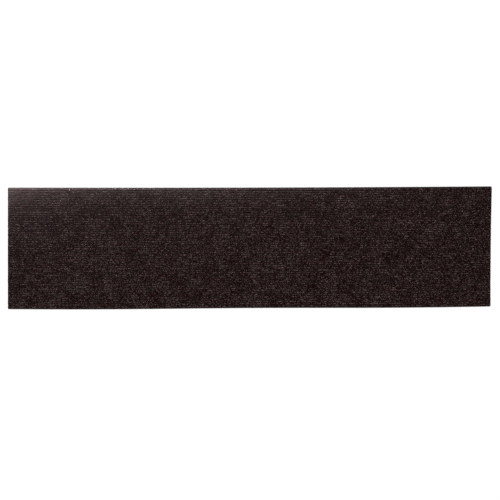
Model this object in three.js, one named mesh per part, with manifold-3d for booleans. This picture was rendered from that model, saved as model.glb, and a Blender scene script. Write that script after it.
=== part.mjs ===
// A ribbed needle-felt stair tread mat with a bonded anti-slip rubber back.
// Millimetres, +Z up. The origin is under the middle of the mat, on the face that lies on the stair.
// X runs along the stair's width, +Y points to the riser and -Y to the nosing.
import * as THREE from "three";
import { mergeVertices } from "three/addons/utils/BufferGeometryUtils.js";
import Module from "manifold-3d";

// Cut size of the mat
const INCH = 25.4;
const MAT_LENGTH = 36 * INCH;
const MAT_DEPTH = 9 * INCH;
const CORNER_RADIUS = 3;

// Layers of the sheet, from the stair upwards
const RUBBER_THICKNESS = 1.6;
const GROUND_FELT_THICKNESS = 2.4;
const RIB_HEIGHT = 2;

// The ribs run along the length, six to the inch
const RIB_PITCH = INCH / 6;
const GROOVE_WIDTH = 0.9;

// How far the cut fibres relax and round over at the mat's edge
const EDGE_SINK = 1.4;
const EDGE_SLOPE = 1;

// Steps of the round forms
const RIB_HALF_STEPS = 4;
const CORNER_STEPS = 6;
const EDGE_STEPS = 3;

const GROUND_TOP = RUBBER_THICKNESS + GROUND_FELT_THICKNESS;
const TOTAL_THICKNESS = GROUND_TOP + RIB_HEIGHT;

const wasm = await Module();
wasm.setup();

/** Turns a closed three.js geometry into a solid that can be joined and cut. */
function solidFrom(geometry) {
  const bare = geometry.clone();
  bare.deleteAttribute("normal");
  bare.deleteAttribute("uv");
  const merged = mergeVertices(bare, 1e-4);
  return new wasm.Manifold(
    new wasm.Mesh({
      numProp: 3,
      vertProperties: merged.getAttribute("position").array,
      triVerts: new Uint32Array(merged.index.array),
    }),
  );
}

/** Turns a solid back into a three.js geometry. */
function geometryFrom(solid) {
  const { vertProperties, triVerts } = solid.getMesh();
  const geometry = new THREE.BufferGeometry();
  geometry.setAttribute("position", new THREE.BufferAttribute(vertProperties, 3));
  geometry.setIndex(new THREE.BufferAttribute(triVerts, 1));
  geometry.computeVertexNormals();
  return geometry;
}

/** The sheet's section, across the ribs: a flat back, square sides and one domed rib after another. */
function sectionShape() {
  const ribCount = Math.floor(MAT_DEPTH / RIB_PITCH + 1e-6);
  const ribHalfWidth = (RIB_PITCH - GROOVE_WIDTH) / 2;
  const firstRib = ((ribCount - 1) * RIB_PITCH) / 2;
  const section = new THREE.Shape();
  section.moveTo(-MAT_DEPTH / 2, 0);
  section.lineTo(MAT_DEPTH / 2, 0);
  section.lineTo(MAT_DEPTH / 2, GROUND_TOP);
  for (let rib = 0; rib < ribCount; rib += 1) {
    const middle = firstRib - rib * RIB_PITCH;
    section.absellipse(middle, GROUND_TOP, ribHalfWidth, RIB_HEIGHT, 0, Math.PI, false);
  }
  section.lineTo(-MAT_DEPTH / 2, GROUND_TOP);
  section.closePath();
  return section;
}

/** The ribbed sheet as it comes off the roll, a little longer than the mat. */
function ribbedSheet() {
  const spare = 10;
  const geometry = new THREE.ExtrudeGeometry(sectionShape(), {
    depth: MAT_LENGTH + 2 * spare,
    bevelEnabled: false,
    curveSegments: RIB_HALF_STEPS,
  });
  const acrossToY = new THREE.Vector3(0, 1, 0);
  const thicknessToZ = new THREE.Vector3(0, 0, 1);
  const alongToX = new THREE.Vector3(1, 0, 0);
  geometry.applyMatrix4(new THREE.Matrix4().makeBasis(acrossToY, thicknessToZ, alongToX));
  geometry.translate(-MAT_LENGTH / 2 - spare, 0, 0);
  return solidFrom(geometry);
}

/** The mat's plan, with its knife-cut corners. */
function planShape() {
  const x = MAT_LENGTH / 2;
  const y = MAT_DEPTH / 2;
  const r = CORNER_RADIUS;
  const plan = new THREE.Shape();
  plan.absarc(x - r, y - r, r, 0, Math.PI / 2, false);
  plan.absarc(-x + r, y - r, r, Math.PI / 2, Math.PI, false);
  plan.absarc(-x + r, -y + r, r, Math.PI, 1.5 * Math.PI, false);
  plan.absarc(x - r, -y + r, r, 1.5 * Math.PI, 2 * Math.PI, false);
  plan.closePath();
  return plan;
}

/** The knife's cut, through and past the back: square walls that round over where the cut felt sinks. */
function cutBlank() {
  const below = 2;
  const geometry = new THREE.ExtrudeGeometry(planShape(), {
    depth: TOTAL_THICKNESS + below - EDGE_SINK,
    bevelEnabled: true,
    bevelThickness: EDGE_SINK,
    bevelSize: EDGE_SLOPE,
    bevelOffset: -EDGE_SLOPE,
    bevelSegments: EDGE_STEPS,
    curveSegments: CORNER_STEPS / 2,
  });
  geometry.translate(0, 0, -below);
  return solidFrom(geometry);
}

/** The finished mat: one bonded sheet, cut from the roll. */
function treadMat() {
  const feltBrown = new THREE.MeshStandardMaterial({
    color: 0x2a201f,
    roughness: 0.95,
    metalness: 0,
  });
  const mat = new THREE.Mesh(geometryFrom(ribbedSheet().intersect(cutBlank())), feltBrown);
  mat.name = "tread_mat";
  return mat;
}

const model = new THREE.Group();
model.add(treadMat());

export default model;
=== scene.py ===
"""Looks of a stair tread mat: ribbed melange needle felt on a bonded anti-slip rubber back.

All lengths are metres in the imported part's frame: X runs along the mat and its ribs, +Y points to
the riser, +Z is up, and the origin is under the mat's middle on the face that lies on the stair.
"""

import logging
import math
from dataclasses import dataclass, field
from enum import Enum

import bpy
import numpy as np
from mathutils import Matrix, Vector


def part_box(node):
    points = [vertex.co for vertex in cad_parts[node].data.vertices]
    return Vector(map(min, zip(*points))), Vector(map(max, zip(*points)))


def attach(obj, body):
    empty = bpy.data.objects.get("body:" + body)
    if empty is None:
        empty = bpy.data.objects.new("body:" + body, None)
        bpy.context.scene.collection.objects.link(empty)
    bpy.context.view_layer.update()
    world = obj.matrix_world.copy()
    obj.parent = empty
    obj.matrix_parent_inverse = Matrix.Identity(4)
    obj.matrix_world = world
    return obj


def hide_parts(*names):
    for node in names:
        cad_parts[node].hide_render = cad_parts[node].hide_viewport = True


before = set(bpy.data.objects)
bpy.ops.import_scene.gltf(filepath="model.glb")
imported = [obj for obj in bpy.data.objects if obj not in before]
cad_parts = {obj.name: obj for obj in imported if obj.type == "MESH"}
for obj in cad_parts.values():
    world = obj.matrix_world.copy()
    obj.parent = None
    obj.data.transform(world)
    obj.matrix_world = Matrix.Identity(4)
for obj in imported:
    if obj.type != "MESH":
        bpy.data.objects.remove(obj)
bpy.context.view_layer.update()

MM = 0.001
INCH = 25.4 * MM
MAT_NODE = "tread_mat"
BAKE_MAP = "OFBake"
NUMBER, SHADE, VECTOR = "NodeSocketFloat", "NodeSocketColor", "NodeSocketVector"

log = logging.getLogger("tread_mat")

Colour = tuple[float, float, float]
Point = tuple[float, float, float]
Array = np.ndarray
Socket = bpy.types.NodeSocket
Object = bpy.types.Object
Material = bpy.types.Material
Fed = Socket | float | tuple[float, ...]


def opaque(colour: Colour) -> tuple[float, float, float, float]:
    """Gives a colour its full alpha."""
    return (*colour, 1.0)


class Draws:
    """Seeded random draws, and smooth random curves made from them."""

    def __init__(self, seed: int) -> None:
        """Starts the draws of one piece, with its own seed."""
        self.rng = np.random.default_rng(seed)

    def smooth(self, rows: int, steps: int, cell: float) -> Array:
        """Draws random curves that change slowly.

        Args:
            rows: How many curves.
            steps: How many places each curve has.
            cell: How many steps lie between two free values.

        Returns:
            One row of values for each curve, with mean 0 and spread near 1.
        """
        places = np.arange(steps) / cell
        low = places.astype(int)
        share = places - low
        share = share * share * (3 - 2 * share)
        knots = self.rng.normal(size=(rows, low[-1] + 2))
        return knots[:, low] * (1 - share) + knots[:, low + 1] * share

    def between(self, low: float, high: float, count: int) -> Array:
        """Draws numbers evenly between two limits."""
        return self.rng.uniform(low, high, count)

    def about(self, spread: float, *shape: int) -> Array:
        """Draws normal numbers about 0, in an array of the given shape."""
        return self.rng.normal(size=shape) * spread


def mesh_object(
    name: str, points: Array, faces: list[Array], spots: list[Array], smooth: bool = True
) -> Object:
    """Makes a mesh object with its bake map and links it to the scene.

    Args:
        name: The piece's name.
        points: Vertex places, one row of three for each.
        faces: Arrays of vertex numbers, one row for each face, one array for each count of corners.
        spots: Where the corners of those faces lie on the bake map, in the same order.
        smooth: Whether the faces are shaded smooth.

    Returns:
        The new object.
    """
    corners = np.concatenate([f.ravel() for f in faces]).astype(np.int32)
    counts = np.concatenate([np.full(len(f), f.shape[1]) for f in faces])
    starts = (np.cumsum(counts) - counts).astype(np.int32)
    mesh = bpy.data.meshes.new(name)
    mesh.vertices.add(len(points))
    mesh.vertices.foreach_set("co", points.astype(np.float32).ravel())
    mesh.loops.add(len(corners))
    mesh.loops.foreach_set("vertex_index", corners)
    mesh.polygons.add(len(counts))
    mesh.polygons.foreach_set("loop_start", starts)
    mesh.polygons.foreach_set("use_smooth", np.full(len(counts), smooth))
    mesh.update(calc_edges=True)
    layer = mesh.uv_layers.new(name=BAKE_MAP)
    spread = np.concatenate([s.reshape(-1) for s in spots])
    layer.uv.foreach_set("vector", spread.astype(np.float32))
    mesh.validate()
    made = bpy.data.objects.new(name, mesh)
    bpy.context.scene.collection.objects.link(made)
    return made


def closed_tubes(rings: Array) -> tuple[Array, list[Array]]:
    """Joins rings of vertices into tubes that are closed at both ends.

    Args:
        rings: The vertices, by tube, place along the tube, place round it, and X, Y, Z.

    Returns:
        The vertices one after another, and the faces: the long ones, and the tubes' ends.
    """
    numbers = np.arange(rings[..., 0].size).reshape(rings.shape[:3])
    after = np.roll(numbers, -1, 2)
    quads = np.stack([numbers[:, :-1], after[:, :-1], after[:, 1:], numbers[:, 1:]], -1)
    ends = np.concatenate([numbers[:, 0, ::-1], numbers[:, -1]])
    return rings.reshape(-1, 3), [quads.reshape(-1, 4), ends]


def cell_corners(near: Array, far: Array, low: Array, high: Array) -> Array:
    """Lays quads out as cells of the bake map.

    Args:
        near: Where each cell starts along the map.
        far: Where it ends.
        low: Where it starts up the map.
        high: Where it ends.

    Returns:
        The four corners of each cell.
    """
    u = np.stack([near, near, far, far], -1)
    v = np.stack([low, high, high, low], -1)
    return np.stack([u, v], -1).reshape(-1, 4, 2)


@dataclass(frozen=True)
class MatSizes:
    """Sizes of the mat. Its length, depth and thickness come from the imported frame.

    Attributes:
        edge_sink: How far the felt has sunk right at the cut.
        edge_slope: How far in from the cut it starts to sink.
        fullness: Shape of a rib's section: 1 is a half ellipse, and less is squarer.
    """

    length: float
    depth: float
    thickness: float
    corner_radius: float = 1 * MM
    rubber: float = 1.6 * MM
    ground: float = 2.4 * MM
    rib_pitch: float = INCH / 6
    groove: float = 0.9 * MM
    edge_sink: float = 1.4 * MM
    edge_slope: float = 1 * MM
    fullness: float = 0.95

    @classmethod
    def from_frame(cls) -> "MatSizes":
        """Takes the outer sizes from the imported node."""
        low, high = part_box(MAT_NODE)
        return cls(*(high - low))

    @property
    def ground_top(self) -> float:
        """Height of the groove floors."""
        return self.rubber + self.ground

    @property
    def rib_height(self) -> float:
        """How far the ribs stand above the groove floors."""
        return self.thickness - self.ground_top

    @property
    def rib_half_width(self) -> float:
        """Half of a rib's width at its foot."""
        return (self.rib_pitch - self.groove) / 2

    @property
    def rib_count(self) -> int:
        """How many whole ribs fit across the depth, give or take a rounding error."""
        rounding = 1e-6
        return math.floor(self.depth / self.rib_pitch + rounding)

    def rib_middle(self, rib: Array | int) -> Array | float:
        """Y of a rib's middle, counted from the nosing side."""
        return (rib - (self.rib_count - 1) / 2) * self.rib_pitch

    def sunk(self, inward: Array) -> Array:
        """How far the cut felt has sunk at some distances from the cut edge."""
        out = 1 - np.clip(inward / self.edge_slope, 0, 1)
        return self.edge_sink * (1 - np.sqrt(1 - out * out))

    def face_height(self, across: Array) -> Array:
        """Height of the ribbed face.

        Args:
            across: Y of the places asked for.

        Returns:
            The nominal height of the felt there.
        """
        middle = self.rib_middle(0)
        rib = np.clip(np.round((across - middle) / self.rib_pitch), 0, self.rib_count - 1)
        share = np.abs(across - self.rib_middle(rib)) / self.rib_half_width
        power = 2 / self.fullness
        dome = np.clip(1 - np.minimum(share, 1) ** power, 0, 1) ** (1 / power)
        return self.ground_top + self.rib_height * dome


@dataclass(frozen=True)
class KnifeCut:
    """The mat's outline: small round corners, ends a little off square, and sides not quite true.

    Attributes:
        skew: How far the ends lean, as a share of the depth.
        bow: How far both long sides bend towards the nosing at their middle.
        wave: How far the knife wandered along the nosing side, and waves how often.
        hollow: How far the right end is hollow between its corners.
        spread: How much too deep the mat was cut, at each long side.
    """

    sizes: MatSizes
    skew: float = 0.0093
    bow: float = 1.12 * MM
    wave: float = 0.69 * MM
    waves: float = 1.5
    hollow: float = 0.8 * MM
    spread: float = 0.16 * MM

    def place(self, along: Array, across: Array) -> tuple[Array, Array]:
        """Moves places of the plain oblong onto the cut one.

        Args:
            along: X of places on an exact oblong.
            across: Y of the same places.

        Returns:
            X and Y of the places on the mat as it was cut.
        """
        radius = self.sizes.corner_radius
        flat_x = self.sizes.length / 2 - radius
        flat_y = self.sizes.depth / 2 - radius
        u = np.clip((np.abs(along) - flat_x) / radius, 0, None)
        v = np.clip((np.abs(across) - flat_y) / radius, 0, None)
        round_u = u * np.sqrt(np.clip(1 - v * v / 2, 0, 1))
        round_v = v * np.sqrt(np.clip(1 - u * u / 2, 0, 1))
        x = np.where(u > 0, np.sign(along) * (flat_x + radius * round_u), along)
        y = np.where(v > 0, np.sign(across) * (flat_y + radius * round_v), across)
        s = 2 * x / self.sizes.length
        t = 2 * y / self.sizes.depth
        wander = self.wave * np.cos(self.waves * math.pi * s) * (1 - t) / 2
        cut_y = y + self.spread * t - self.bow * (1 - s * s) + wander
        return x + self.skew * y + self.hollow * t * t * (1 + s) / 2, cut_y


class Graph:
    """A shader node tree, with short ways to add nodes and feed them."""

    MIX_SHARE, MIX_FIRST, MIX_SECOND, MIX_RESULT = 0, 6, 7, 2

    def __init__(self, tree: bpy.types.NodeTree) -> None:
        """Takes the tree that the nodes go into."""
        self.tree = tree

    def feed(self, socket: Socket, value: Fed) -> None:
        """Links an input to another node's output, or sets its value.

        Args:
            socket: The input.
            value: The output or the value that it gets.
        """
        if isinstance(value, Socket):
            self.tree.links.new(value, socket)
        else:
            socket.default_value = value

    def add(
        self, kind: str, inputs: dict[str | int, Fed] | None = None, **settings: object
    ) -> bpy.types.Node:
        """Adds one node and feeds it.

        Args:
            kind: Blender's name of the kind of node.
            inputs: What each named or numbered input gets.
            settings: The node's own properties.

        Returns:
            The new node.
        """
        made = self.tree.nodes.new(kind)
        for name, value in settings.items():
            setattr(made, name, value)
        for name, value in (inputs or {}).items():
            self.feed(made.inputs[name], value)
        return made

    def reckon(self, operation: str, first: Fed, second: Fed = 0.0) -> Socket:
        """Adds a Math node, and gives the socket that holds its result."""
        numbers = {0: first, 1: second}
        return self.add("ShaderNodeMath", numbers, operation=operation).outputs[0]

    def ramp(self, value: Fed, low: Fed, high: Fed, start: Fed = 0.0, end: Fed = 1.0) -> Socket:
        """Adds a Map Range node that eases from one value to another.

        Args:
            value: The socket that is read.
            low: Where the change starts.
            high: Where it ends.
            start: The result at and below low.
            end: The result at and above high.

        Returns:
            The socket that holds the result.
        """
        wanted = {"Value": value, "From Min": low, "From Max": high}
        wanted.update({"To Min": start, "To Max": end})
        made = self.add("ShaderNodeMapRange", wanted, interpolation_type="SMOOTHSTEP")
        return made.outputs["Result"]

    def blend(self, share: Fed, first: Fed, second: Fed, way: str = "MIX") -> Socket:
        """Adds a Mix node for colours.

        Args:
            share: How much of the second colour is taken.
            first: The first colour or socket.
            second: The second colour or socket.
            way: Blender's name of the way they are mixed.

        Returns:
            The socket that holds the mixed colour.
        """
        made = self.add("ShaderNodeMix", data_type="RGBA", blend_type=way)
        self.feed(made.inputs[self.MIX_SHARE], share)
        self.feed(made.inputs[self.MIX_FIRST], first)
        self.feed(made.inputs[self.MIX_SECOND], second)
        return made.outputs[self.MIX_RESULT]

    def noise(
        self, place: Fed, scale: float, detail: float, roughness: float = 0.5
    ) -> bpy.types.Node:
        """Adds a Noise Texture node, with a number in Fac and three in Color."""
        wanted = {"Vector": place, "Scale": scale, "Detail": detail, "Roughness": roughness}
        return self.add("ShaderNodeTexNoise", wanted)

    def lots(self, place: Fed, scale: float) -> Socket:
        """Parts the surface into cells, and draws a number from 0 to 1 for each."""
        cells = self.add("ShaderNodeTexVoronoi", {"Vector": place, "Scale": scale})
        return self.add("ShaderNodeSeparateColor", {0: cells.outputs["Color"]}).outputs[0]

    def stretched(self, place: Fed, along: Fed, across: Fed) -> Socket:
        """Counts a place in steps of one length along the ribs and another across them.

        Args:
            place: The socket that holds the place, in metres.
            along: Length of a step along X.
            across: Length of a step along Y and Z.

        Returns:
            The socket that holds the place in those steps.
        """
        steps = self.add("ShaderNodeCombineXYZ", {0: along, 1: across, 2: across}).outputs[0]
        counted = self.add("ShaderNodeVectorMath", {0: place, 1: steps}, operation="DIVIDE")
        return counted.outputs[0]


class Effect(Graph):
    """A shader node group with named inputs and outputs, for several materials to share."""

    def __init__(
        self, name: str, inputs: dict[str, tuple[str, Fed | None]], outputs: dict[str, str]
    ) -> None:
        """Starts the group.

        Args:
            name: The group's name.
            inputs: Kind of socket and default value of each input.
            outputs: Kind of socket of each output.
        """
        super().__init__(bpy.data.node_groups.new(name, "ShaderNodeTree"))
        sockets = self.tree.interface
        for label, (kind, value) in inputs.items():
            socket = sockets.new_socket(name=label, in_out="INPUT", socket_type=kind)
            if value is not None:
                socket.default_value = value
        for label, kind in outputs.items():
            sockets.new_socket(name=label, in_out="OUTPUT", socket_type=kind)
        self.given = self.tree.nodes.new("NodeGroupInput").outputs
        self.leaves = self.tree.nodes.new("NodeGroupOutput").inputs


class Melange(Effect):
    """Flecks a felt with the fibres of several dye lots.

    It puts out the colour, and a mask of the palest flecks.
    """

    DYES = ("Dark", "Mid", "Light")
    MEASURES = (
        "Fleck Length", "Fleck Width", "Mid From", "Light From", "Softness",
        "Waviness", "Hairiness", "Patch Size", "Patchiness",
    )

    def __init__(self) -> None:
        """Builds the group."""
        inputs: dict[str, tuple[str, Fed | None]] = {"Place": (VECTOR, None)}
        inputs.update({name: (SHADE, None) for name in self.DYES})
        inputs.update({name: (NUMBER, None) for name in self.MEASURES})
        super().__init__("fibre melange", inputs, {"Colour": SHADE, "Fleck": NUMBER})
        given = self.given
        step = self.stretched(given["Place"], given["Fleck Length"], given["Fleck Width"])
        level = self._level(step)
        is_mid, is_light = (
            self.ramp(level, start, self.reckon("ADD", start, given["Softness"]))
            for start in (given["Mid From"], given["Light From"])
        )
        body = self.blend(is_mid, given["Dark"], given["Mid"])
        self.feed(self.leaves["Colour"], self.blend(is_light, body, given["Light"]))
        self.feed(self.leaves["Fleck"], is_light)

    def _level(self, step: Socket) -> Socket:
        """Adds up how pale the felt is.

        Args:
            step: The socket that holds the place, in flecks.

        Returns:
            The socket that holds the paleness, which is mostly between 0 and 1.
        """
        given = self.given
        bends = self.noise(step, 0.9, 1.0).outputs["Color"]
        wavy = {0: bends, 1: given["Waviness"], 2: step}
        off = self.add("ShaderNodeVectorMath", wavy, operation="MULTIPLY_ADD").outputs[0]
        fleck = self.lots(off, 1.0)
        hairs = self.noise(step, 3.0, 3.0).outputs["Fac"]
        size = given["Patch Size"]
        patch = self.noise(self.stretched(given["Place"], size, size), 1.0, 2.0).outputs["Fac"]
        fine = self.reckon("MULTIPLY", self.reckon("SUBTRACT", hairs, 0.5), given["Hairiness"])
        broad = self.reckon("MULTIPLY", self.reckon("SUBTRACT", patch, 0.5), given["Patchiness"])
        return self.reckon("ADD", self.reckon("ADD", fleck, fine), broad)


class MattedFibres(Effect):
    """Lays fine fibres across each other, as the needles mat them.

    It puts out the height of the fibres, from 0 to 1, and how lit they are, as painted shade.
    """

    HEADINGS = (12, 68, -47)

    def __init__(self) -> None:
        """Builds the group."""
        super().__init__(
            "matted fibres",
            {
                "Place": (VECTOR, None),
                "Fibre Length": (NUMBER, 2.5 * MM),
                "Fibre Width": (NUMBER, 0.35 * MM),
                "Ridge": (NUMBER, 0.12),
                # painted shade in the hollows, and painted highlight on the tops
                "Deep Shade": (NUMBER, 0.55),
                "Top Shade": (NUMBER, 1.25),
            },
            {"Height": NUMBER, "Shade": NUMBER},
        )
        given = self.given
        top: Fed = 0.0
        for heading in self.HEADINGS:
            turn = {"Vector": given["Place"], "Angle": math.radians(heading)}
            turned = self.add("ShaderNodeVectorRotate", turn, rotation_type="Z_AXIS").outputs[0]
            step = self.stretched(turned, given["Fibre Length"], given["Fibre Width"])
            wave = self.noise(step, 1.0, 1.0).outputs["Fac"]
            far = self.reckon("ABSOLUTE", self.reckon("SUBTRACT", wave, 0.5))
            top = self.reckon("MAXIMUM", top, self.ramp(far, given["Ridge"], 0.0))
        self.feed(self.leaves["Height"], top)
        # painted shade in the fibres' hollows and painted highlight on their tops, for colours to be
        # multiplied by
        shade = self.ramp(top, 0.0, 1.0, given["Deep Shade"], given["Top Shade"])
        self.feed(self.leaves["Shade"], shade)


@dataclass
class Effects:
    """The node groups that the finishes share, each built once."""

    melange: Melange = field(default_factory=Melange)
    matted: MattedFibres = field(default_factory=MattedFibres)


class Coat(Graph):
    """A new material's nodes."""

    def __init__(self, name: str) -> None:
        """Starts the material.

        Args:
            name: The material's name.
        """
        self.material = bpy.data.materials.new(name)
        self.material.use_nodes = True
        super().__init__(self.material.node_tree)
        self.place = self.add("ShaderNodeTexCoord").outputs["Object"]

    def effect(self, shared: Effect, wanted: dict[str, Fed]) -> bpy.types.Node:
        """Puts a shared group in. Its inputs get the place, and what is wanted."""
        inputs = {"Place": self.place, **wanted}
        return self.add("ShaderNodeGroup", inputs, node_tree=shared.tree)

    def tinted(self, colour: Fed, light: Fed) -> Socket:
        """Makes a colour lighter or darker from place to place."""
        return self.blend(1.0, colour, light, "MULTIPLY")

    def bump(self, height: Socket, relief: float, strength: float = 1.0) -> Fed:
        """Raises the surface by a height from 0 to 1, where 1 is worth the relief."""
        wanted = {"Height": height, "Distance": relief, "Strength": strength}
        return self.add("ShaderNodeBump", wanted).outputs[0]

    def finished(self, wanted: dict[str, Fed]) -> Material:
        """Feeds the material's shader.

        Args:
            wanted: What the Principled BSDF's inputs get.

        Returns:
            The material.
        """
        shader = self.tree.nodes["Principled BSDF"]
        for name, value in wanted.items():
            self.feed(shader.inputs[name], value)
        return self.material


@dataclass(frozen=True)
class FeltFinish:
    """Needle felt of coarse fibres dyed in several browns.

    Attributes:
        mid_from: Share of the felt that is darker than mid.
        light_from: Share of the felt that is darker than light.
        softness: How far one dye lot fades into the next.
        waviness: How far the flecks bend, as a share of their own size.
        hairiness: How much single hairs stand out from their fleck.
        foot_reach: How far up a rib its painted shade reaches, as a share of its height.
        rough: Roughness of the dark fibres, and of the palest.
    """

    name: str
    dark: Colour
    mid: Colour
    light: Colour
    mid_from: float = 0.37
    light_from: float = 0.755
    softness: float = 0.12
    waviness: float = 1.4
    hairiness: float = 0.9
    patch_size: float = 28 * MM
    patchiness: float = 0.38
    fleck_length: float = 1.25 * MM
    fleck_width: float = 0.9 * MM
    fibre_length: float = 2.6 * MM
    fibre_width: float = 0.36 * MM
    # painted shade: share of the colour left at the foot of the ribs, where the grooves are shaded
    painted_foot_shade: float = 0.08
    foot_reach: float = 0.55
    relief: float = 0.25 * MM
    relief_strength: float = 0.8
    rough: tuple[float, float] = (0.97, 0.82)
    gloss: float = 0.05
    sheen: float = 0.01
    sheen_rough: float = 0.55
    sheen_tint: Colour = (0.75, 0.68, 0.68)

    def material(self, effects: Effects, sizes: MatSizes) -> Material:
        """Builds the felt's material.

        Args:
            effects: The shared node groups.
            sizes: The mat's sizes, for the painted shade at the foot of the ribs.

        Returns:
            The material.
        """
        coat = Coat(self.name)
        dyes = {name: opaque(self._field(name)) for name in Melange.DYES}
        dyes.update({name: self._field(name) for name in Melange.MEASURES})
        melange = coat.effect(effects.melange, dyes).outputs
        fibres = {"Fibre Length": self.fibre_length, "Fibre Width": self.fibre_width}
        matted = coat.effect(effects.matted, fibres).outputs
        height = coat.add("ShaderNodeSeparateXYZ", {0: coat.place}).outputs["Z"]
        # painted shade: the colour darkens from the ribs' tops down to their feet and the groove
        # floors, and the matted fibres add their painted shade and highlight
        low = sizes.ground_top + self.foot_reach * sizes.rib_height
        foot = coat.ramp(height, low, sizes.thickness, self.painted_foot_shade, 1.0)
        light = coat.reckon("MULTIPLY", foot, matted["Shade"])
        return coat.finished({
            "Base Color": coat.tinted(melange["Colour"], light),
            "Roughness": coat.ramp(melange["Fleck"], 0.0, 1.0, *self.rough),
            "Normal": coat.bump(matted["Height"], self.relief, self.relief_strength),
            "Specular IOR Level": self.gloss,
            "Sheen Weight": self.sheen,
            "Sheen Roughness": self.sheen_rough,
            "Sheen Tint": opaque(self.sheen_tint),
        })

    def _field(self, name: str) -> float | Colour:
        """Gives the field that has the same name as an input of a group."""
        return getattr(self, name.lower().replace(" ", "_"))


@dataclass(frozen=True)
class FibreFinish:
    """Single loose fibres of one dye lot.

    Attributes:
        spread: How far their dye varies, as a share of it.
        rough: Roughness between the marks along a fibre, and on them.
    """

    name: str
    colour: Colour
    spread: float = 0.6
    lots_to_metre: float = 220.0
    scale_length: float = 1.2 * MM
    scale_width: float = 0.12 * MM
    rough: tuple[float, float] = (0.85, 0.6)
    gloss: float = 0.08

    def material(self, effects: Effects) -> Material:
        """Builds the fibres' material.

        Args:
            effects: The shared node groups.

        Returns:
            The material.
        """
        coat = Coat(self.name)
        lot = coat.lots(coat.place, self.lots_to_metre)
        dye = coat.ramp(lot, 0.0, 1.0, 1 - self.spread, 1 + self.spread)
        marks = {"Fibre Length": self.scale_length, "Fibre Width": self.scale_width}
        matted = coat.effect(effects.matted, marks).outputs
        # the dye lots' own tone, times a painted shade and highlight from the marks along each fibre
        light = coat.reckon("MULTIPLY", dye, matted["Shade"])
        return coat.finished({
            "Base Color": coat.tinted(opaque(self.colour), light),
            "Roughness": coat.ramp(matted["Height"], 0.0, 1.0, *self.rough),
            "Specular IOR Level": self.gloss,
        })


@dataclass(frozen=True)
class RubberFinish:
    """Black rubber with a fine moulded grain and a faint grey bloom.

    Attributes:
        bloom_from: How thick a cloud is where the bloom starts to show, and where it is full.
        grain_hold: How much bloom the grain's hollows hold, and its tops.
        rough: Roughness of the clean rubber, and under a full bloom.
    """

    name: str = "anti_slip_rubber"
    black: Colour = (0.013, 0.013, 0.014)
    bloom: Colour = (0.045, 0.044, 0.043)
    bloom_size: float = 22 * MM
    bloom_from: tuple[float, float] = (0.42, 0.72)
    bloom_share: float = 0.7
    grain_size: float = 0.5 * MM
    grain_hold: tuple[float, float] = (0.4, 1.0)
    drag_length: float = 9 * MM
    drag_width: float = 0.5 * MM
    drag_depth: float = 0.25
    relief: float = 0.06 * MM
    rough: tuple[float, float] = (0.58, 0.86)

    def material(self, effects: Effects) -> Material:
        """Builds the rubber's material.

        Args:
            effects: The shared node groups.

        Returns:
            The material.
        """
        coat = Coat(self.name)
        clouds = coat.noise(coat.place, 1 / self.bloom_size, 5.0, 0.65).outputs["Fac"]
        grain = coat.noise(coat.place, 1 / self.grain_size, 2.0).outputs["Fac"]
        marks = {"Fibre Length": self.drag_length, "Fibre Width": self.drag_width}
        matted = coat.effect(effects.matted, marks).outputs
        grey = coat.ramp(clouds, *self.bloom_from, 0.0, self.bloom_share)
        dusty = coat.reckon("MULTIPLY", grey, coat.ramp(grain, 0.3, 0.7, *self.grain_hold))
        drag = coat.reckon("MULTIPLY", matted["Height"], self.drag_depth)
        return coat.finished({
            "Base Color": coat.blend(dusty, opaque(self.black), opaque(self.bloom)),
            "Roughness": coat.ramp(dusty, 0.0, self.bloom_share, *self.rough),
            "Normal": coat.bump(coat.reckon("ADD", grain, drag), self.relief),
        })


@dataclass(frozen=True)
class TableFinish:
    """A white studio table that is mostly lit from below, so that it hardly takes a shadow."""

    name: str = "studio_table"
    white: Colour = (0.4, 0.4, 0.4)
    glow: float = 0.56
    swells_to_metre: float = 3.0
    rough: tuple[float, float] = (0.85, 0.95)

    def material(self) -> Material:
        """Builds the table's material.

        Returns:
            The material.
        """
        coat = Coat(self.name)
        mottle = coat.noise(coat.place, self.swells_to_metre, 2.0).outputs["Fac"]
        return coat.finished({
            "Base Color": opaque(self.white),
            "Roughness": coat.ramp(mottle, 0.3, 0.7, *self.rough),
            "Specular IOR Level": 0.0,
            "Emission Color": opaque((1.0, 1.0, 1.0)),
            "Emission Strength": self.glow,
        })


@dataclass
class Piece:
    """A piece of the mat, which lies within the knife's cut."""

    cut: KnifeCut

    @property
    def sizes(self) -> MatSizes:
        """The mat's sizes."""
        return self.cut.sizes


class Looks(Enum):
    """Which side of a layer carries its shape, and so which way it looks."""

    UP = 1
    DOWN = -1


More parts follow.
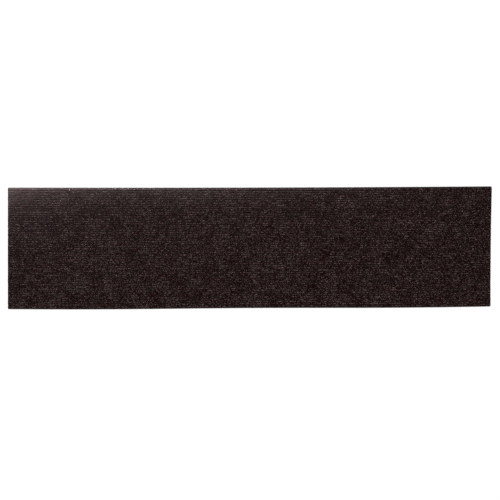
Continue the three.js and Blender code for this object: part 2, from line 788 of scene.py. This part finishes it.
@dataclass
class Layer(Piece):
    """One closed layer of the sheet: a shaped face, upright cut walls and a flat far side.

    Attributes:
        wall_wobble: How far the knife tore the walls in and out.
        corner_share: How near to an end or a side a place of the rim lies on it, from 0 to 1.
    """

    name: str
    looks: Looks
    far_side: float
    wall_steps: int = 3
    wall_wobble: float = 0.08 * MM
    seed: int = 1
    corner_share: float = 0.985

    def build(
        self, along: Array, across: Array, heights: Array, smooth: bool
    ) -> Object:
        """Builds the layer's mesh.

        Args:
            along: X of the face's columns, from end to end.
            across: Y of its rows, from the nosing side to the riser side.
            heights: Z of the face, one row for each X.
            smooth: Whether it is shaded smooth.

        Returns:
            The layer's object.
        """
        x, y = self.cut.place(*np.meshgrid(along, across, indexing="ij"))
        face = np.stack([x, y, heights], -1)
        numbers = np.arange(x.size).reshape(x.shape)
        quads = np.stack([numbers[:-1, :-1], numbers[1:, :-1], numbers[1:, 1:], numbers[:-1, 1:]], -1)
        rim = np.concatenate([numbers[:-1, 0], numbers[-1, :-1], numbers[:0:-1, -1], numbers[0, :0:-1]])
        walls, points = self._walls(face.reshape(-1, 3), rim)
        after = np.roll(walls, -1, 1)
        wall_quads = np.stack([walls[:-1], walls[1:], after[1:], after[:-1]], -1)
        far = walls[-1:, ::-1]
        faces = [quads.reshape(-1, 4), wall_quads.reshape(-1, 4), far]
        spots = self._spots(quads.shape[:2], len(rim), points[far[0]])
        if self.looks is Looks.DOWN:
            faces = [f[:, ::-1] for f in faces]
            spots = [s[:, ::-1] for s in spots]
        return mesh_object(self.name, points, faces, spots, smooth)

    def _walls(self, face: Array, rim: Array) -> tuple[Array, Array]:
        """Adds the wall's rings of vertices.

        Args:
            face: The face's vertices.
            rim: Numbers of those on its edge, in order round it.

        Returns:
            The vertex numbers of each ring from the face to the far side, and all the vertices.
        """
        draws = Draws(self.seed)
        rings, points = [rim], [face]
        outward = face[rim, :2] * (1 / (self.sizes.length / 2), 1 / (self.sizes.depth / 2))
        direction = np.sign(outward) * (np.abs(outward) > self.corner_share)
        for step in range(1, self.wall_steps + 1):
            ring = face[rim].copy()
            ring[:, 2] += step / self.wall_steps * (self.far_side - ring[:, 2])
            if step < self.wall_steps:
                wobble = draws.smooth(1, len(rim), 1.5)[0] * self.wall_wobble
                ring[:, :2] += direction * wobble[:, None]
            rings.append(len(face) + (step - 1) * len(rim) + np.arange(len(rim)))
            points.append(ring)
        return np.stack(rings), np.concatenate(points)

    def _spots(self, cells: tuple[int, int], around: int, far: Array) -> list[Array]:
        """Lays the layer out on the bake map: its face in two stacked halves, and strips on top.

        Args:
            cells: How many quads the face has along and across.
            around: How many quads each ring of the wall has.
            far: The corners of the flat far side.

        Returns:
            The corner places of the face's quads, of the walls' quads and of the far side.
        """
        face_used, face_strip = 0.995, 0.47
        wall_from, wall_strip = 0.945, 0.03
        far_from, far_strip = 0.982, 0.016
        half = math.ceil(cells[0] / 2)
        i, j = np.meshgrid(*map(np.arange, cells), indexing="ij")
        stack, i = i // half, i % half
        u = np.stack([i, i + 1, i + 1, i], -1) / half
        up = np.stack([j, j, j + 1, j + 1], -1) / cells[1]
        v = face_strip * (stack[..., None] + up * face_used)
        k, p = np.meshgrid(np.arange(self.wall_steps), np.arange(around), indexing="ij")
        low, high = (wall_from + wall_strip * (k + n) / self.wall_steps for n in (0, 1))
        far_u = (far[:, 0] / self.sizes.length + 0.5).clip(0, 1)
        far_v = far_from + far_strip * (far[:, 1] / self.sizes.depth + 0.5)
        return [
            np.stack([u, v], -1).reshape(-1, 4, 2),
            cell_corners(p / around, (p + 1) / around, low, high),
            np.stack([far_u, far_v], -1)[None],
        ]


@dataclass
class RubberBack(Piece):
    """The anti-slip coat under the felt, with low studs moulded into its underside."""

    finish: RubberFinish
    stud_pitch: float = 6 * MM
    stud_height: float = 0.35 * MM
    flank: float = 0.3

    def build(self, effects: Effects) -> Object:
        """Builds and dresses the rubber coat.

        Args:
            effects: The shared node groups.

        Returns:
            The piece.
        """
        along, top_x = self._lines(self.sizes.length)
        across, top_y = self._lines(self.sizes.depth)
        heights = np.where(top_x[:, None] & top_y[None, :], 0.0, self.stud_height)
        layer = Layer(self.cut, "rubber_back", Looks.DOWN, self.sizes.rubber, wall_steps=2)
        piece = layer.build(along, across, heights, smooth=False)
        piece.data.materials.append(self.finish.material(effects))
        return piece

    def _lines(self, side: float) -> tuple[Array, Array]:
        """Finds the lines of the studs along one side.

        Args:
            side: The side's length.

        Returns:
            Where the lines lie, and which of them run over the studs' tops.
        """
        count = round(side / self.stud_pitch)
        parts = np.array([0, self.flank, 1 - self.flank])
        lines = (np.arange(count)[:, None] + parts).ravel() / count
        tops = np.tile([False, True, True], count)
        return np.append(lines, 1.0) * side - side / 2, np.append(tops, False)


@dataclass
class GroundFelt(Piece):
    """The felt that the ribs stand on, seen at the foot of the grooves and on the cut walls."""

    finish: FeltFinish
    step: float = 4 * MM
    unevenness: float = 0.08 * MM
    overlap: float = 0.05 * MM
    wall_wobble: float = 0.06 * MM
    seed: int = 21

    def build(self, effects: Effects) -> Object:
        """Builds and dresses the ground felt.

        Args:
            effects: The shared node groups.

        Returns:
            The piece.
        """
        columns = round(self.sizes.length / self.step) + 1
        rows = 2 * self.sizes.rib_count + 1
        along = np.linspace(-0.5, 0.5, columns) * self.sizes.length
        across = np.linspace(-0.5, 0.5, rows) * self.sizes.depth
        bumps = Draws(self.seed).smooth(rows, columns, 2.0).T * self.unevenness
        far_side = self.sizes.rubber - self.overlap
        own_seed = self.seed + 1
        layer = Layer(
            self.cut, "ground_felt", Looks.UP, far_side, 4, self.wall_wobble, own_seed
        )
        piece = layer.build(along, across, self.sizes.ground_top + bumps, smooth=True)
        piece.data.materials.append(self.finish.material(effects, self.sizes))
        return piece


@dataclass
class RibBand(Piece):
    """Neighbouring ribs of the felt's face, each a closed ridge of matted tufts.

    Attributes:
        ribs: Which ribs it holds, counted from the nosing side.
        angles: Where the places of a ring stand round the rib, in degrees from its riser side.
        tuft_share: How much of a tuft the next place round the rib shares.
        stacks: How many strips each rib takes on the bake map.
    """

    name: str
    ribs: range
    seed: int
    step: float = 1.02 * MM
    angles: tuple[float, ...] = (0, 26, 56, 90, 124, 154, 180)
    foot: float = 0.15 * MM
    tuft: float = 0.17 * MM
    tuft_length: float = 2.0 * MM
    tuft_share: float = 0.6
    grain: float = 0.07 * MM
    swell: float = 0.14 * MM
    swell_length: float = 15 * MM
    wander: float = 0.12 * MM
    wander_length: float = 40 * MM
    ragged: float = 0.1 * MM
    stacks: int = 3

    def build(self, felt: Material) -> Object:
        """Builds and dresses the band.

        Args:
            felt: The material of the felt's face.

        Returns:
            The piece.
        """
        rings = self._rings()
        piece = mesh_object(self.name, *closed_tubes(rings), self._spots(rings.shape[1]))
        piece.data.materials.append(felt)
        return piece

    def _along(self) -> Array:
        """Places the rings: in even steps, with closer ones where the cut ends round over.

        Returns:
            X of the rings.
        """
        half = self.sizes.length / 2
        count = round(self.sizes.length / self.step)
        even = np.linspace(-half, half, count + 1)[2:-2]
        ends = half - self.sizes.edge_slope * np.array([0.0, 0.15, 0.5, 1.0])
        return np.concatenate([-ends, even, ends[::-1]])

    def _rings(self) -> Array:
        """Shapes the ribs.

        Returns:
            The vertices, by rib, place along the rib, place round it, and X, Y, Z.
        """
        sizes, draws = self.sizes, Draws(self.seed)
        along = self._along()
        ribs, places, sides = len(self.ribs), len(along), len(self.angles)
        turn = np.radians(self.angles)
        full = sizes.fullness
        out_y = np.sign(np.cos(turn)) * np.abs(np.cos(turn)) ** full
        out_z = np.clip(np.sin(turn), 0, 1) ** full
        tufts = draws.smooth(ribs * sides, places, self.tuft_length / self.step)
        tufts = tufts.reshape(ribs, sides, places).transpose(0, 2, 1)
        tufts = (tufts + self.tuft_share * np.roll(tufts, 1, 2)) * self.tuft
        grain = draws.about(self.grain, ribs, places, sides)
        swell = draws.smooth(ribs, places, self.swell_length / self.step) * self.swell
        wander = draws.smooth(ribs, places, self.wander_length / self.step) * self.wander
        proud = tufts + grain + swell[:, :, None]
        y = out_y * (sizes.rib_half_width + proud) + wander[:, :, None]
        y += sizes.rib_middle(np.array(self.ribs))[:, None, None]
        z = out_z * (sizes.rib_height + self.foot + proud)
        x = np.broadcast_to(along[None, :, None], y.shape).copy()
        x *= 1 + draws.about(self.ragged, ribs, 1, 1) / sizes.length
        limit_y = sizes.depth / 2
        y = y.clip(-limit_y, limit_y)
        inward = np.minimum(sizes.length / 2 - np.abs(along)[None, :, None], limit_y - np.abs(y))
        z = np.minimum(z, sizes.rib_height + self.foot + proud - sizes.sunk(inward))
        z = np.maximum(z, 0) + sizes.ground_top - self.foot
        return np.stack([*self.cut.place(x, y), z], -1)

    def _spots(self, places: int) -> list[Array]:
        """Lays the ribs out on the bake map, each in a few strips that are stacked.

        Args:
            places: How many rings each rib has.

        Returns:
            The corner places of the long faces, and those of the two end faces of each rib.
        """
        used, end_column, end_width, end_height = 0.98, 0.99, 0.008, 0.4
        ribs, sides = len(self.ribs), len(self.angles)
        long = math.ceil((places - 1) / self.stacks)
        counts = (ribs, places - 1, sides)
        r, i, j = np.meshgrid(*map(np.arange, counts), indexing="ij")
        edges = np.append(np.arange(sides), sides - 0.5)
        strips = (edges[-1] + 0.5) * ribs * self.stacks
        start = ((i // long) * ribs + r) * (edges[-1] + 0.5)
        low, high = (start + edges[j]) / strips, (start + edges[j + 1]) / strips
        near, far = used * (i % long) / long, used * (i % long + 1) / long
        turn = np.radians(self.angles)
        count = 2 * ribs
        middle = (np.arange(count)[:, None] + 0.5) / count
        end_u = np.broadcast_to(end_column + end_width * np.cos(turn), (count, sides))
        end_v = middle + end_height / count * (2 * np.sin(turn) - 1)
        return [cell_corners(near, far, low, high), np.stack([end_u, end_v], -1)]


class Lay(Enum):
    """Where loose fibres lie."""

    FACE = "on the ribbed face"
    WALL = "out of the cut walls"


@dataclass(frozen=True)
class FibreLot:
    """Loose fibres of one kind.

    Attributes:
        stray: How far they turn from the ribs or from square to the wall, in radians.
        curl: How far one bends from end to end, in radians.
    """

    name: str
    lay: Lay
    finish: FibreFinish
    count: int
    length: tuple[float, float]
    radius: tuple[float, float]
    seed: int
    stray: float = 0.55
    curl: float = 0.9
    steps: int = 5


@dataclass
class LooseFibres(Piece):
    """Single fibres that stand proud of the felt, each a closed thin strand.

    Attributes:
        lift: Least and greatest height of their arch over the ribs.
        root: How far those of the wall start inside it.
        wall_margin: How far they start above the rubber, and below the ribs' tops.
    """

    lot: FibreLot
    sides: int = 3
    taper: float = 0.5
    margin: float = 4 * MM
    lift: tuple[float, float] = (0.05, 0.3)
    tuck: float = 0.22 * MM
    root: float = 0.4 * MM
    rise: float = 0.35
    wall_margin: tuple[float, float] = (0.2 * MM, 0.9 * MM)
    clear: float = 0.3 * MM

    def build(self, effects: Effects) -> Object:
        """Builds and dresses the fibres.

        Args:
            effects: The shared node groups.

        Returns:
            The piece.
        """
        lot, draws = self.lot, Draws(self.lot.seed)
        lines = self._on_face(draws) if lot.lay is Lay.FACE else self._on_wall(draws)
        radii = draws.between(*lot.radius, lot.count)
        ahead = np.gradient(lines, axis=1)
        ahead /= np.linalg.norm(ahead, axis=2, keepdims=True)
        slanted = (0.1, 0.2, 1.0)
        side = np.cross(ahead, slanted)
        side /= np.linalg.norm(side, axis=2, keepdims=True)
        up = np.cross(side, ahead)
        turn = self._turn()
        taper = 1 - self.taper * np.abs(np.linspace(-1, 1, lot.steps + 1)) ** 3
        thick = radii[:, None, None, None] * taper[None, :, None, None]
        ring = side[:, :, None] * np.cos(turn)[:, None] + up[:, :, None] * np.sin(turn)[:, None]
        points, faces = closed_tubes(lines[:, :, None] + thick * ring)
        piece = mesh_object(lot.name, points, faces, self._spots())
        piece.data.materials.append(lot.finish.material(effects))
        return piece

    def _turn(self) -> Array:
        """Angles of the vertices round a strand."""
        return 2 * math.pi * np.arange(self.sides) / self.sides

    def _on_face(self, draws: Draws) -> Array:
        """Lays fibres over the ribs, with both ends tucked in.

        Args:
            draws: The piece's random draws.

        Returns:
            The points of each fibre's middle line.
        """
        lot, sizes = self.lot, self.sizes
        share = np.linspace(-0.5, 0.5, lot.steps + 1)[None, :]
        long = draws.between(*lot.length, lot.count)[:, None]
        x = draws.between(-1, 1, lot.count)[:, None] * (sizes.length / 2 - self.margin)
        y = draws.between(-1, 1, lot.count)[:, None] * (sizes.depth / 2 - self.margin)
        heading = draws.about(lot.stray, lot.count, 1)
        angle = heading + draws.about(lot.curl, lot.count, 1) * share
        x = x + long * share * np.cos(angle)
        y = y + long * share * np.sin(angle)
        lift = draws.between(*self.lift, lot.count)[:, None] * MM
        arch = 1 - (2 * share) ** 2
        z = sizes.face_height(y) + lift * arch - self.tuck * (1 - arch)
        return np.stack([*self.cut.place(x, y), z], -1)

    def _on_wall(self, draws: Draws) -> Array:
        """Lets fibres stand out of the cut walls all round.

        Args:
            draws: The piece's random draws.

        Returns:
            The points of each fibre's middle line.
        """
        lot, sizes = self.lot, self.sizes
        half_x, half_y = sizes.length / 2, sizes.depth / 2
        place = draws.between(0, 4 * (half_x + half_y), lot.count)
        on_long = place < 4 * half_x
        sign = np.where(draws.between(-1, 1, lot.count) > 0, 1.0, -1.0)
        along = np.where(on_long, place / 2 - half_x, sign * half_x)
        across = np.where(on_long, sign * half_y, (place - 4 * half_x) / 2 - half_y)
        out = np.where(on_long, sign * math.pi / 2, np.where(sign > 0, 0.0, math.pi))
        heading = out + draws.about(lot.stray, lot.count)
        curl = draws.about(lot.curl, lot.count)
        long = draws.between(*lot.length, lot.count)[:, None]
        share = np.linspace(0, 1, lot.steps + 1)[None, :]
        angle = heading[:, None] + curl[:, None] * share
        reach = long * share - self.root
        x = along[:, None] + reach * np.cos(angle)
        y = across[:, None] + reach * np.sin(angle)
        above, below = self.wall_margin
        rise = draws.about(self.rise, lot.count, 1)
        start = draws.between(sizes.rubber + above, sizes.thickness - below, lot.count)
        z = start[:, None] + long * rise * share**2
        return np.stack([*self.cut.place(x, y), np.maximum(z, self.clear)], -1)

    def _spots(self) -> list[Array]:
        """Gives each fibre a small cell of its own on the bake map.

        Returns:
            The corner places of the long faces, and those of the two end faces of each fibre.
        """
        used_u, used_v, end_radius = 0.8, 0.9, 0.08
        count, steps, sides = self.lot.count, self.lot.steps, self.sides
        across = math.ceil(math.sqrt(count))
        n, i, j = np.meshgrid(*map(np.arange, (count, steps, sides)), indexing="ij")
        near, far = ((n % across + used_u * (i + k) / steps) / across for k in (0, 1))
        low, high = ((n // across + used_v * (j + k) / sides) / across for k in (0, 1))
        turn = self._turn()
        rim = end_radius * np.stack([np.cos(turn), np.sin(turn)], -1)
        cells = np.arange(count)
        ends = [
            (np.stack([cells % across + 0.9, cells // across + up], -1)[:, None] + rim) / across
            for up in (0.25, 0.65)
        ]
        return [cell_corners(near, far, low, high), np.concatenate(ends)]


class Duty(Enum):
    """What a light is there for."""

    FILL = "lights everything evenly, and adds no gloss"
    SHEEN = "glosses the felt's fibres, and nothing else"


@dataclass(frozen=True)
class Softbox:
    """A rectangular light that the camera doesn't see. Unturned, it shines down."""

    name: str
    duty: Duty
    place: Point
    size: tuple[float, float]
    power: float
    turn: float = 0.0
    colour: Colour = (1.0, 1.0, 1.0)
    sheen_spread: float = 155.0

    def hang(self, felt: bpy.types.Collection) -> None:
        """Hangs the light.

        Args:
            felt: The pieces of felt, the only ones that a sheen light reaches.
        """
        data = bpy.data.lights.new(self.name, "AREA")
        data.shape = "RECTANGLE"
        data.size, data.size_y = self.size
        data.energy = self.power
        data.color = self.colour
        light = bpy.data.objects.new(self.name, data)
        light.location = self.place
        light.rotation_euler = (0.0, 0.0, math.radians(self.turn))
        light.visible_camera = False
        if self.duty is Duty.SHEEN:
            data.spread = math.radians(self.sheen_spread)
            light.visible_diffuse = False
            light.light_linking.receiver_collection = felt
        else:
            light.visible_glossy = False
        bpy.context.scene.collection.objects.link(light)


@dataclass
class Studio:
    """The white table, the soft light and the camera over the mat.

    Attributes:
        backdrop: How bright the room looks. The sky is how much it lights.
        tilt: How far the camera is turned from looking straight down, in degrees about X, Y and Z.
    """

    table: TableFinish
    lights: tuple[Softbox, ...]
    table_side: float = 12.0
    table_drop: float = 0.02 * MM
    sky: float = 0.3
    backdrop: float = 0.8
    lens: float = 50.0
    sensor: float = 36.0
    eye: Point = (-0.0251, 0.0156, 1.3189)
    tilt: Point = (-0.884, -1.029, -0.218)

    def build(self, felt_pieces: list[Object]) -> None:
        """Builds the studio.

        Args:
            felt_pieces: The mat's pieces of felt.
        """
        self._table()
        self._world()
        felt = bpy.data.collections.new("felt")
        for piece in felt_pieces:
            felt.objects.link(piece)
        for light in self.lights:
            light.hang(felt)
        self._camera()

    def _table(self) -> None:
        """Lays the table under the mat."""
        half = self.table_side / 2
        corners = [(-half, -half), (half, -half), (half, half), (-half, half)]
        mesh = bpy.data.meshes.new("table")
        mesh.from_pydata([(x, y, -self.table_drop) for x, y in corners], [], [(0, 1, 2, 3)])
        mesh.materials.append(self.table.material())
        table = bpy.data.objects.new("table", mesh)
        bpy.context.scene.collection.objects.link(table)

    def _world(self) -> None:
        """Fills the room with even white light, and hangs a pale backdrop."""
        world = bpy.data.worlds.new("studio")
        world.use_nodes = True
        room = Graph(world.node_tree)
        seen = room.add("ShaderNodeLightPath").outputs["Is Camera Ray"]
        background = world.node_tree.nodes["Background"].inputs
        room.feed(background["Color"], opaque((1.0, 1.0, 1.0)))
        room.feed(background["Strength"], room.ramp(seen, 0.0, 1.0, self.sky, self.backdrop))
        bpy.context.scene.world = world
        bpy.context.scene.view_settings.view_transform = "Standard"

    def _camera(self) -> None:
        """Sets up the camera, nearly straight above the mat."""
        data = bpy.data.cameras.new("camera")
        data.lens = self.lens
        data.sensor_width = self.sensor
        camera = bpy.data.objects.new("camera", data)
        camera.location = self.eye
        camera.rotation_euler = [math.radians(t) for t in self.tilt]
        bpy.context.scene.collection.objects.link(camera)
        bpy.context.scene.camera = camera


FACE_FELT = FeltFinish(
    name="rib_felt",
    dark=(0.0048, 0.0002, 0.0002),
    mid=(0.0175, 0.0018, 0.0014),
    light=(0.1070, 0.0810, 0.0764),
)
GROUND_FELT = FeltFinish(
    name="ground_felt",
    dark=(0.007, 0.0045, 0.0043),
    mid=(0.018, 0.012, 0.0115),
    light=(0.05, 0.037, 0.035),
    # painted shade: the ground felt lies wholly below the ribs' feet, so all of it is darkened by this
    # share
    painted_foot_shade=0.8,
    sheen=0.05,
)
PALE_FIBRE = FibreFinish("pale_fibre", (0.16, 0.125, 0.118))
DARK_FIBRE = FibreFinish("dark_fibre", (0.016, 0.010, 0.0095))

BAND_NAMES = ("ribs_front", "ribs_front_middle", "ribs_back_middle", "ribs_back")
FIRST_BAND_SEED = 31

LOTS = (
    FibreLot("pale_fibres", Lay.FACE, PALE_FIBRE, 1500, (3 * MM, 8 * MM), (0.08 * MM, 0.16 * MM), 51),
    FibreLot("dark_fibres", Lay.FACE, DARK_FIBRE, 1000, (3 * MM, 9 * MM), (0.07 * MM, 0.14 * MM), 52),
    FibreLot(
        "edge_fibres", Lay.WALL, DARK_FIBRE, 1400, (0.7 * MM, 1.3 * MM), (0.05 * MM, 0.09 * MM), 53,
        stray=0.6, curl=0.8, steps=3,
    ),
)

ROSY = (1.0, 0.8, 0.83)
LIGHTS = (
    Softbox("overhead", Duty.FILL, (-0.2, 0.1, 2.2), (2.4, 2.4), 72.0),
    Softbox("riser_strip", Duty.SHEEN, (-0.16, 0.137, 0.052), (0.76, 0.012), 4.0, 4.2, ROSY),
    Softbox("corner_strip", Duty.SHEEN, (-0.53, 0.122, 0.052), (0.18, 0.012), 1.0),
    Softbox("high_strip", Duty.SHEEN, (-0.3, 0.16, 0.12), (0.6, 0.03), 0.42),
    Softbox("wide_strip", Duty.SHEEN, (-0.1, 0.22, 0.25), (0.9, 0.08), 2.9, 0.0, ROSY),
    Softbox("edge_strip_left", Duty.SHEEN, (-0.33, 0.1185, 0.012), (0.3, 0.004), 0.6),
    Softbox("edge_strip_right", Duty.SHEEN, (0.13, 0.125, 0.02), (0.62, 0.008), 0.6, 2.0),
    Softbox("end_strip", Duty.SHEEN, (-0.475, 0.07, 0.03), (0.12, 0.008), 0.16, 90.0),
    Softbox("left_box", Duty.SHEEN, (-0.5, 0.1, 0.6), (0.5, 0.5), 4.1),
)


def tell(piece: Object) -> Object:
    """Reports a finished piece and sets it on the mat's only body.

    Args:
        piece: The piece.

    Returns:
        The same piece.
    """
    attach(piece, "root")
    log.info("%s: %d faces", piece.name, len(piece.data.polygons))
    return piece


def main() -> None:
    """Builds the mat's layers from the stair upwards, and then the studio."""
    logging.basicConfig(level=logging.INFO, format="%(name)s: %(message)s")
    sizes = MatSizes.from_frame()
    cut = KnifeCut(sizes)
    effects = Effects()
    back = tell(RubberBack(cut, RubberFinish()).build(effects))
    ground = tell(GroundFelt(cut, GROUND_FELT).build(effects))
    face_felt = FACE_FELT.material(effects, sizes)
    limits = np.linspace(0, sizes.rib_count, len(BAND_NAMES) + 1).round().astype(int)
    bands = [
        tell(RibBand(cut, name, range(first, last), FIRST_BAND_SEED + k).build(face_felt))
        for k, (name, first, last) in enumerate(zip(BAND_NAMES, limits[:-1], limits[1:]))
    ]
    loose = [tell(LooseFibres(cut, lot).build(effects)) for lot in LOTS]
    for piece in (back, ground, *bands):
        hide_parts(MAT_NODE)
    Studio(TableFinish(), LIGHTS).build([ground, *bands])
    log.info("studio: done")


if __name__ == "__main__":
    main()
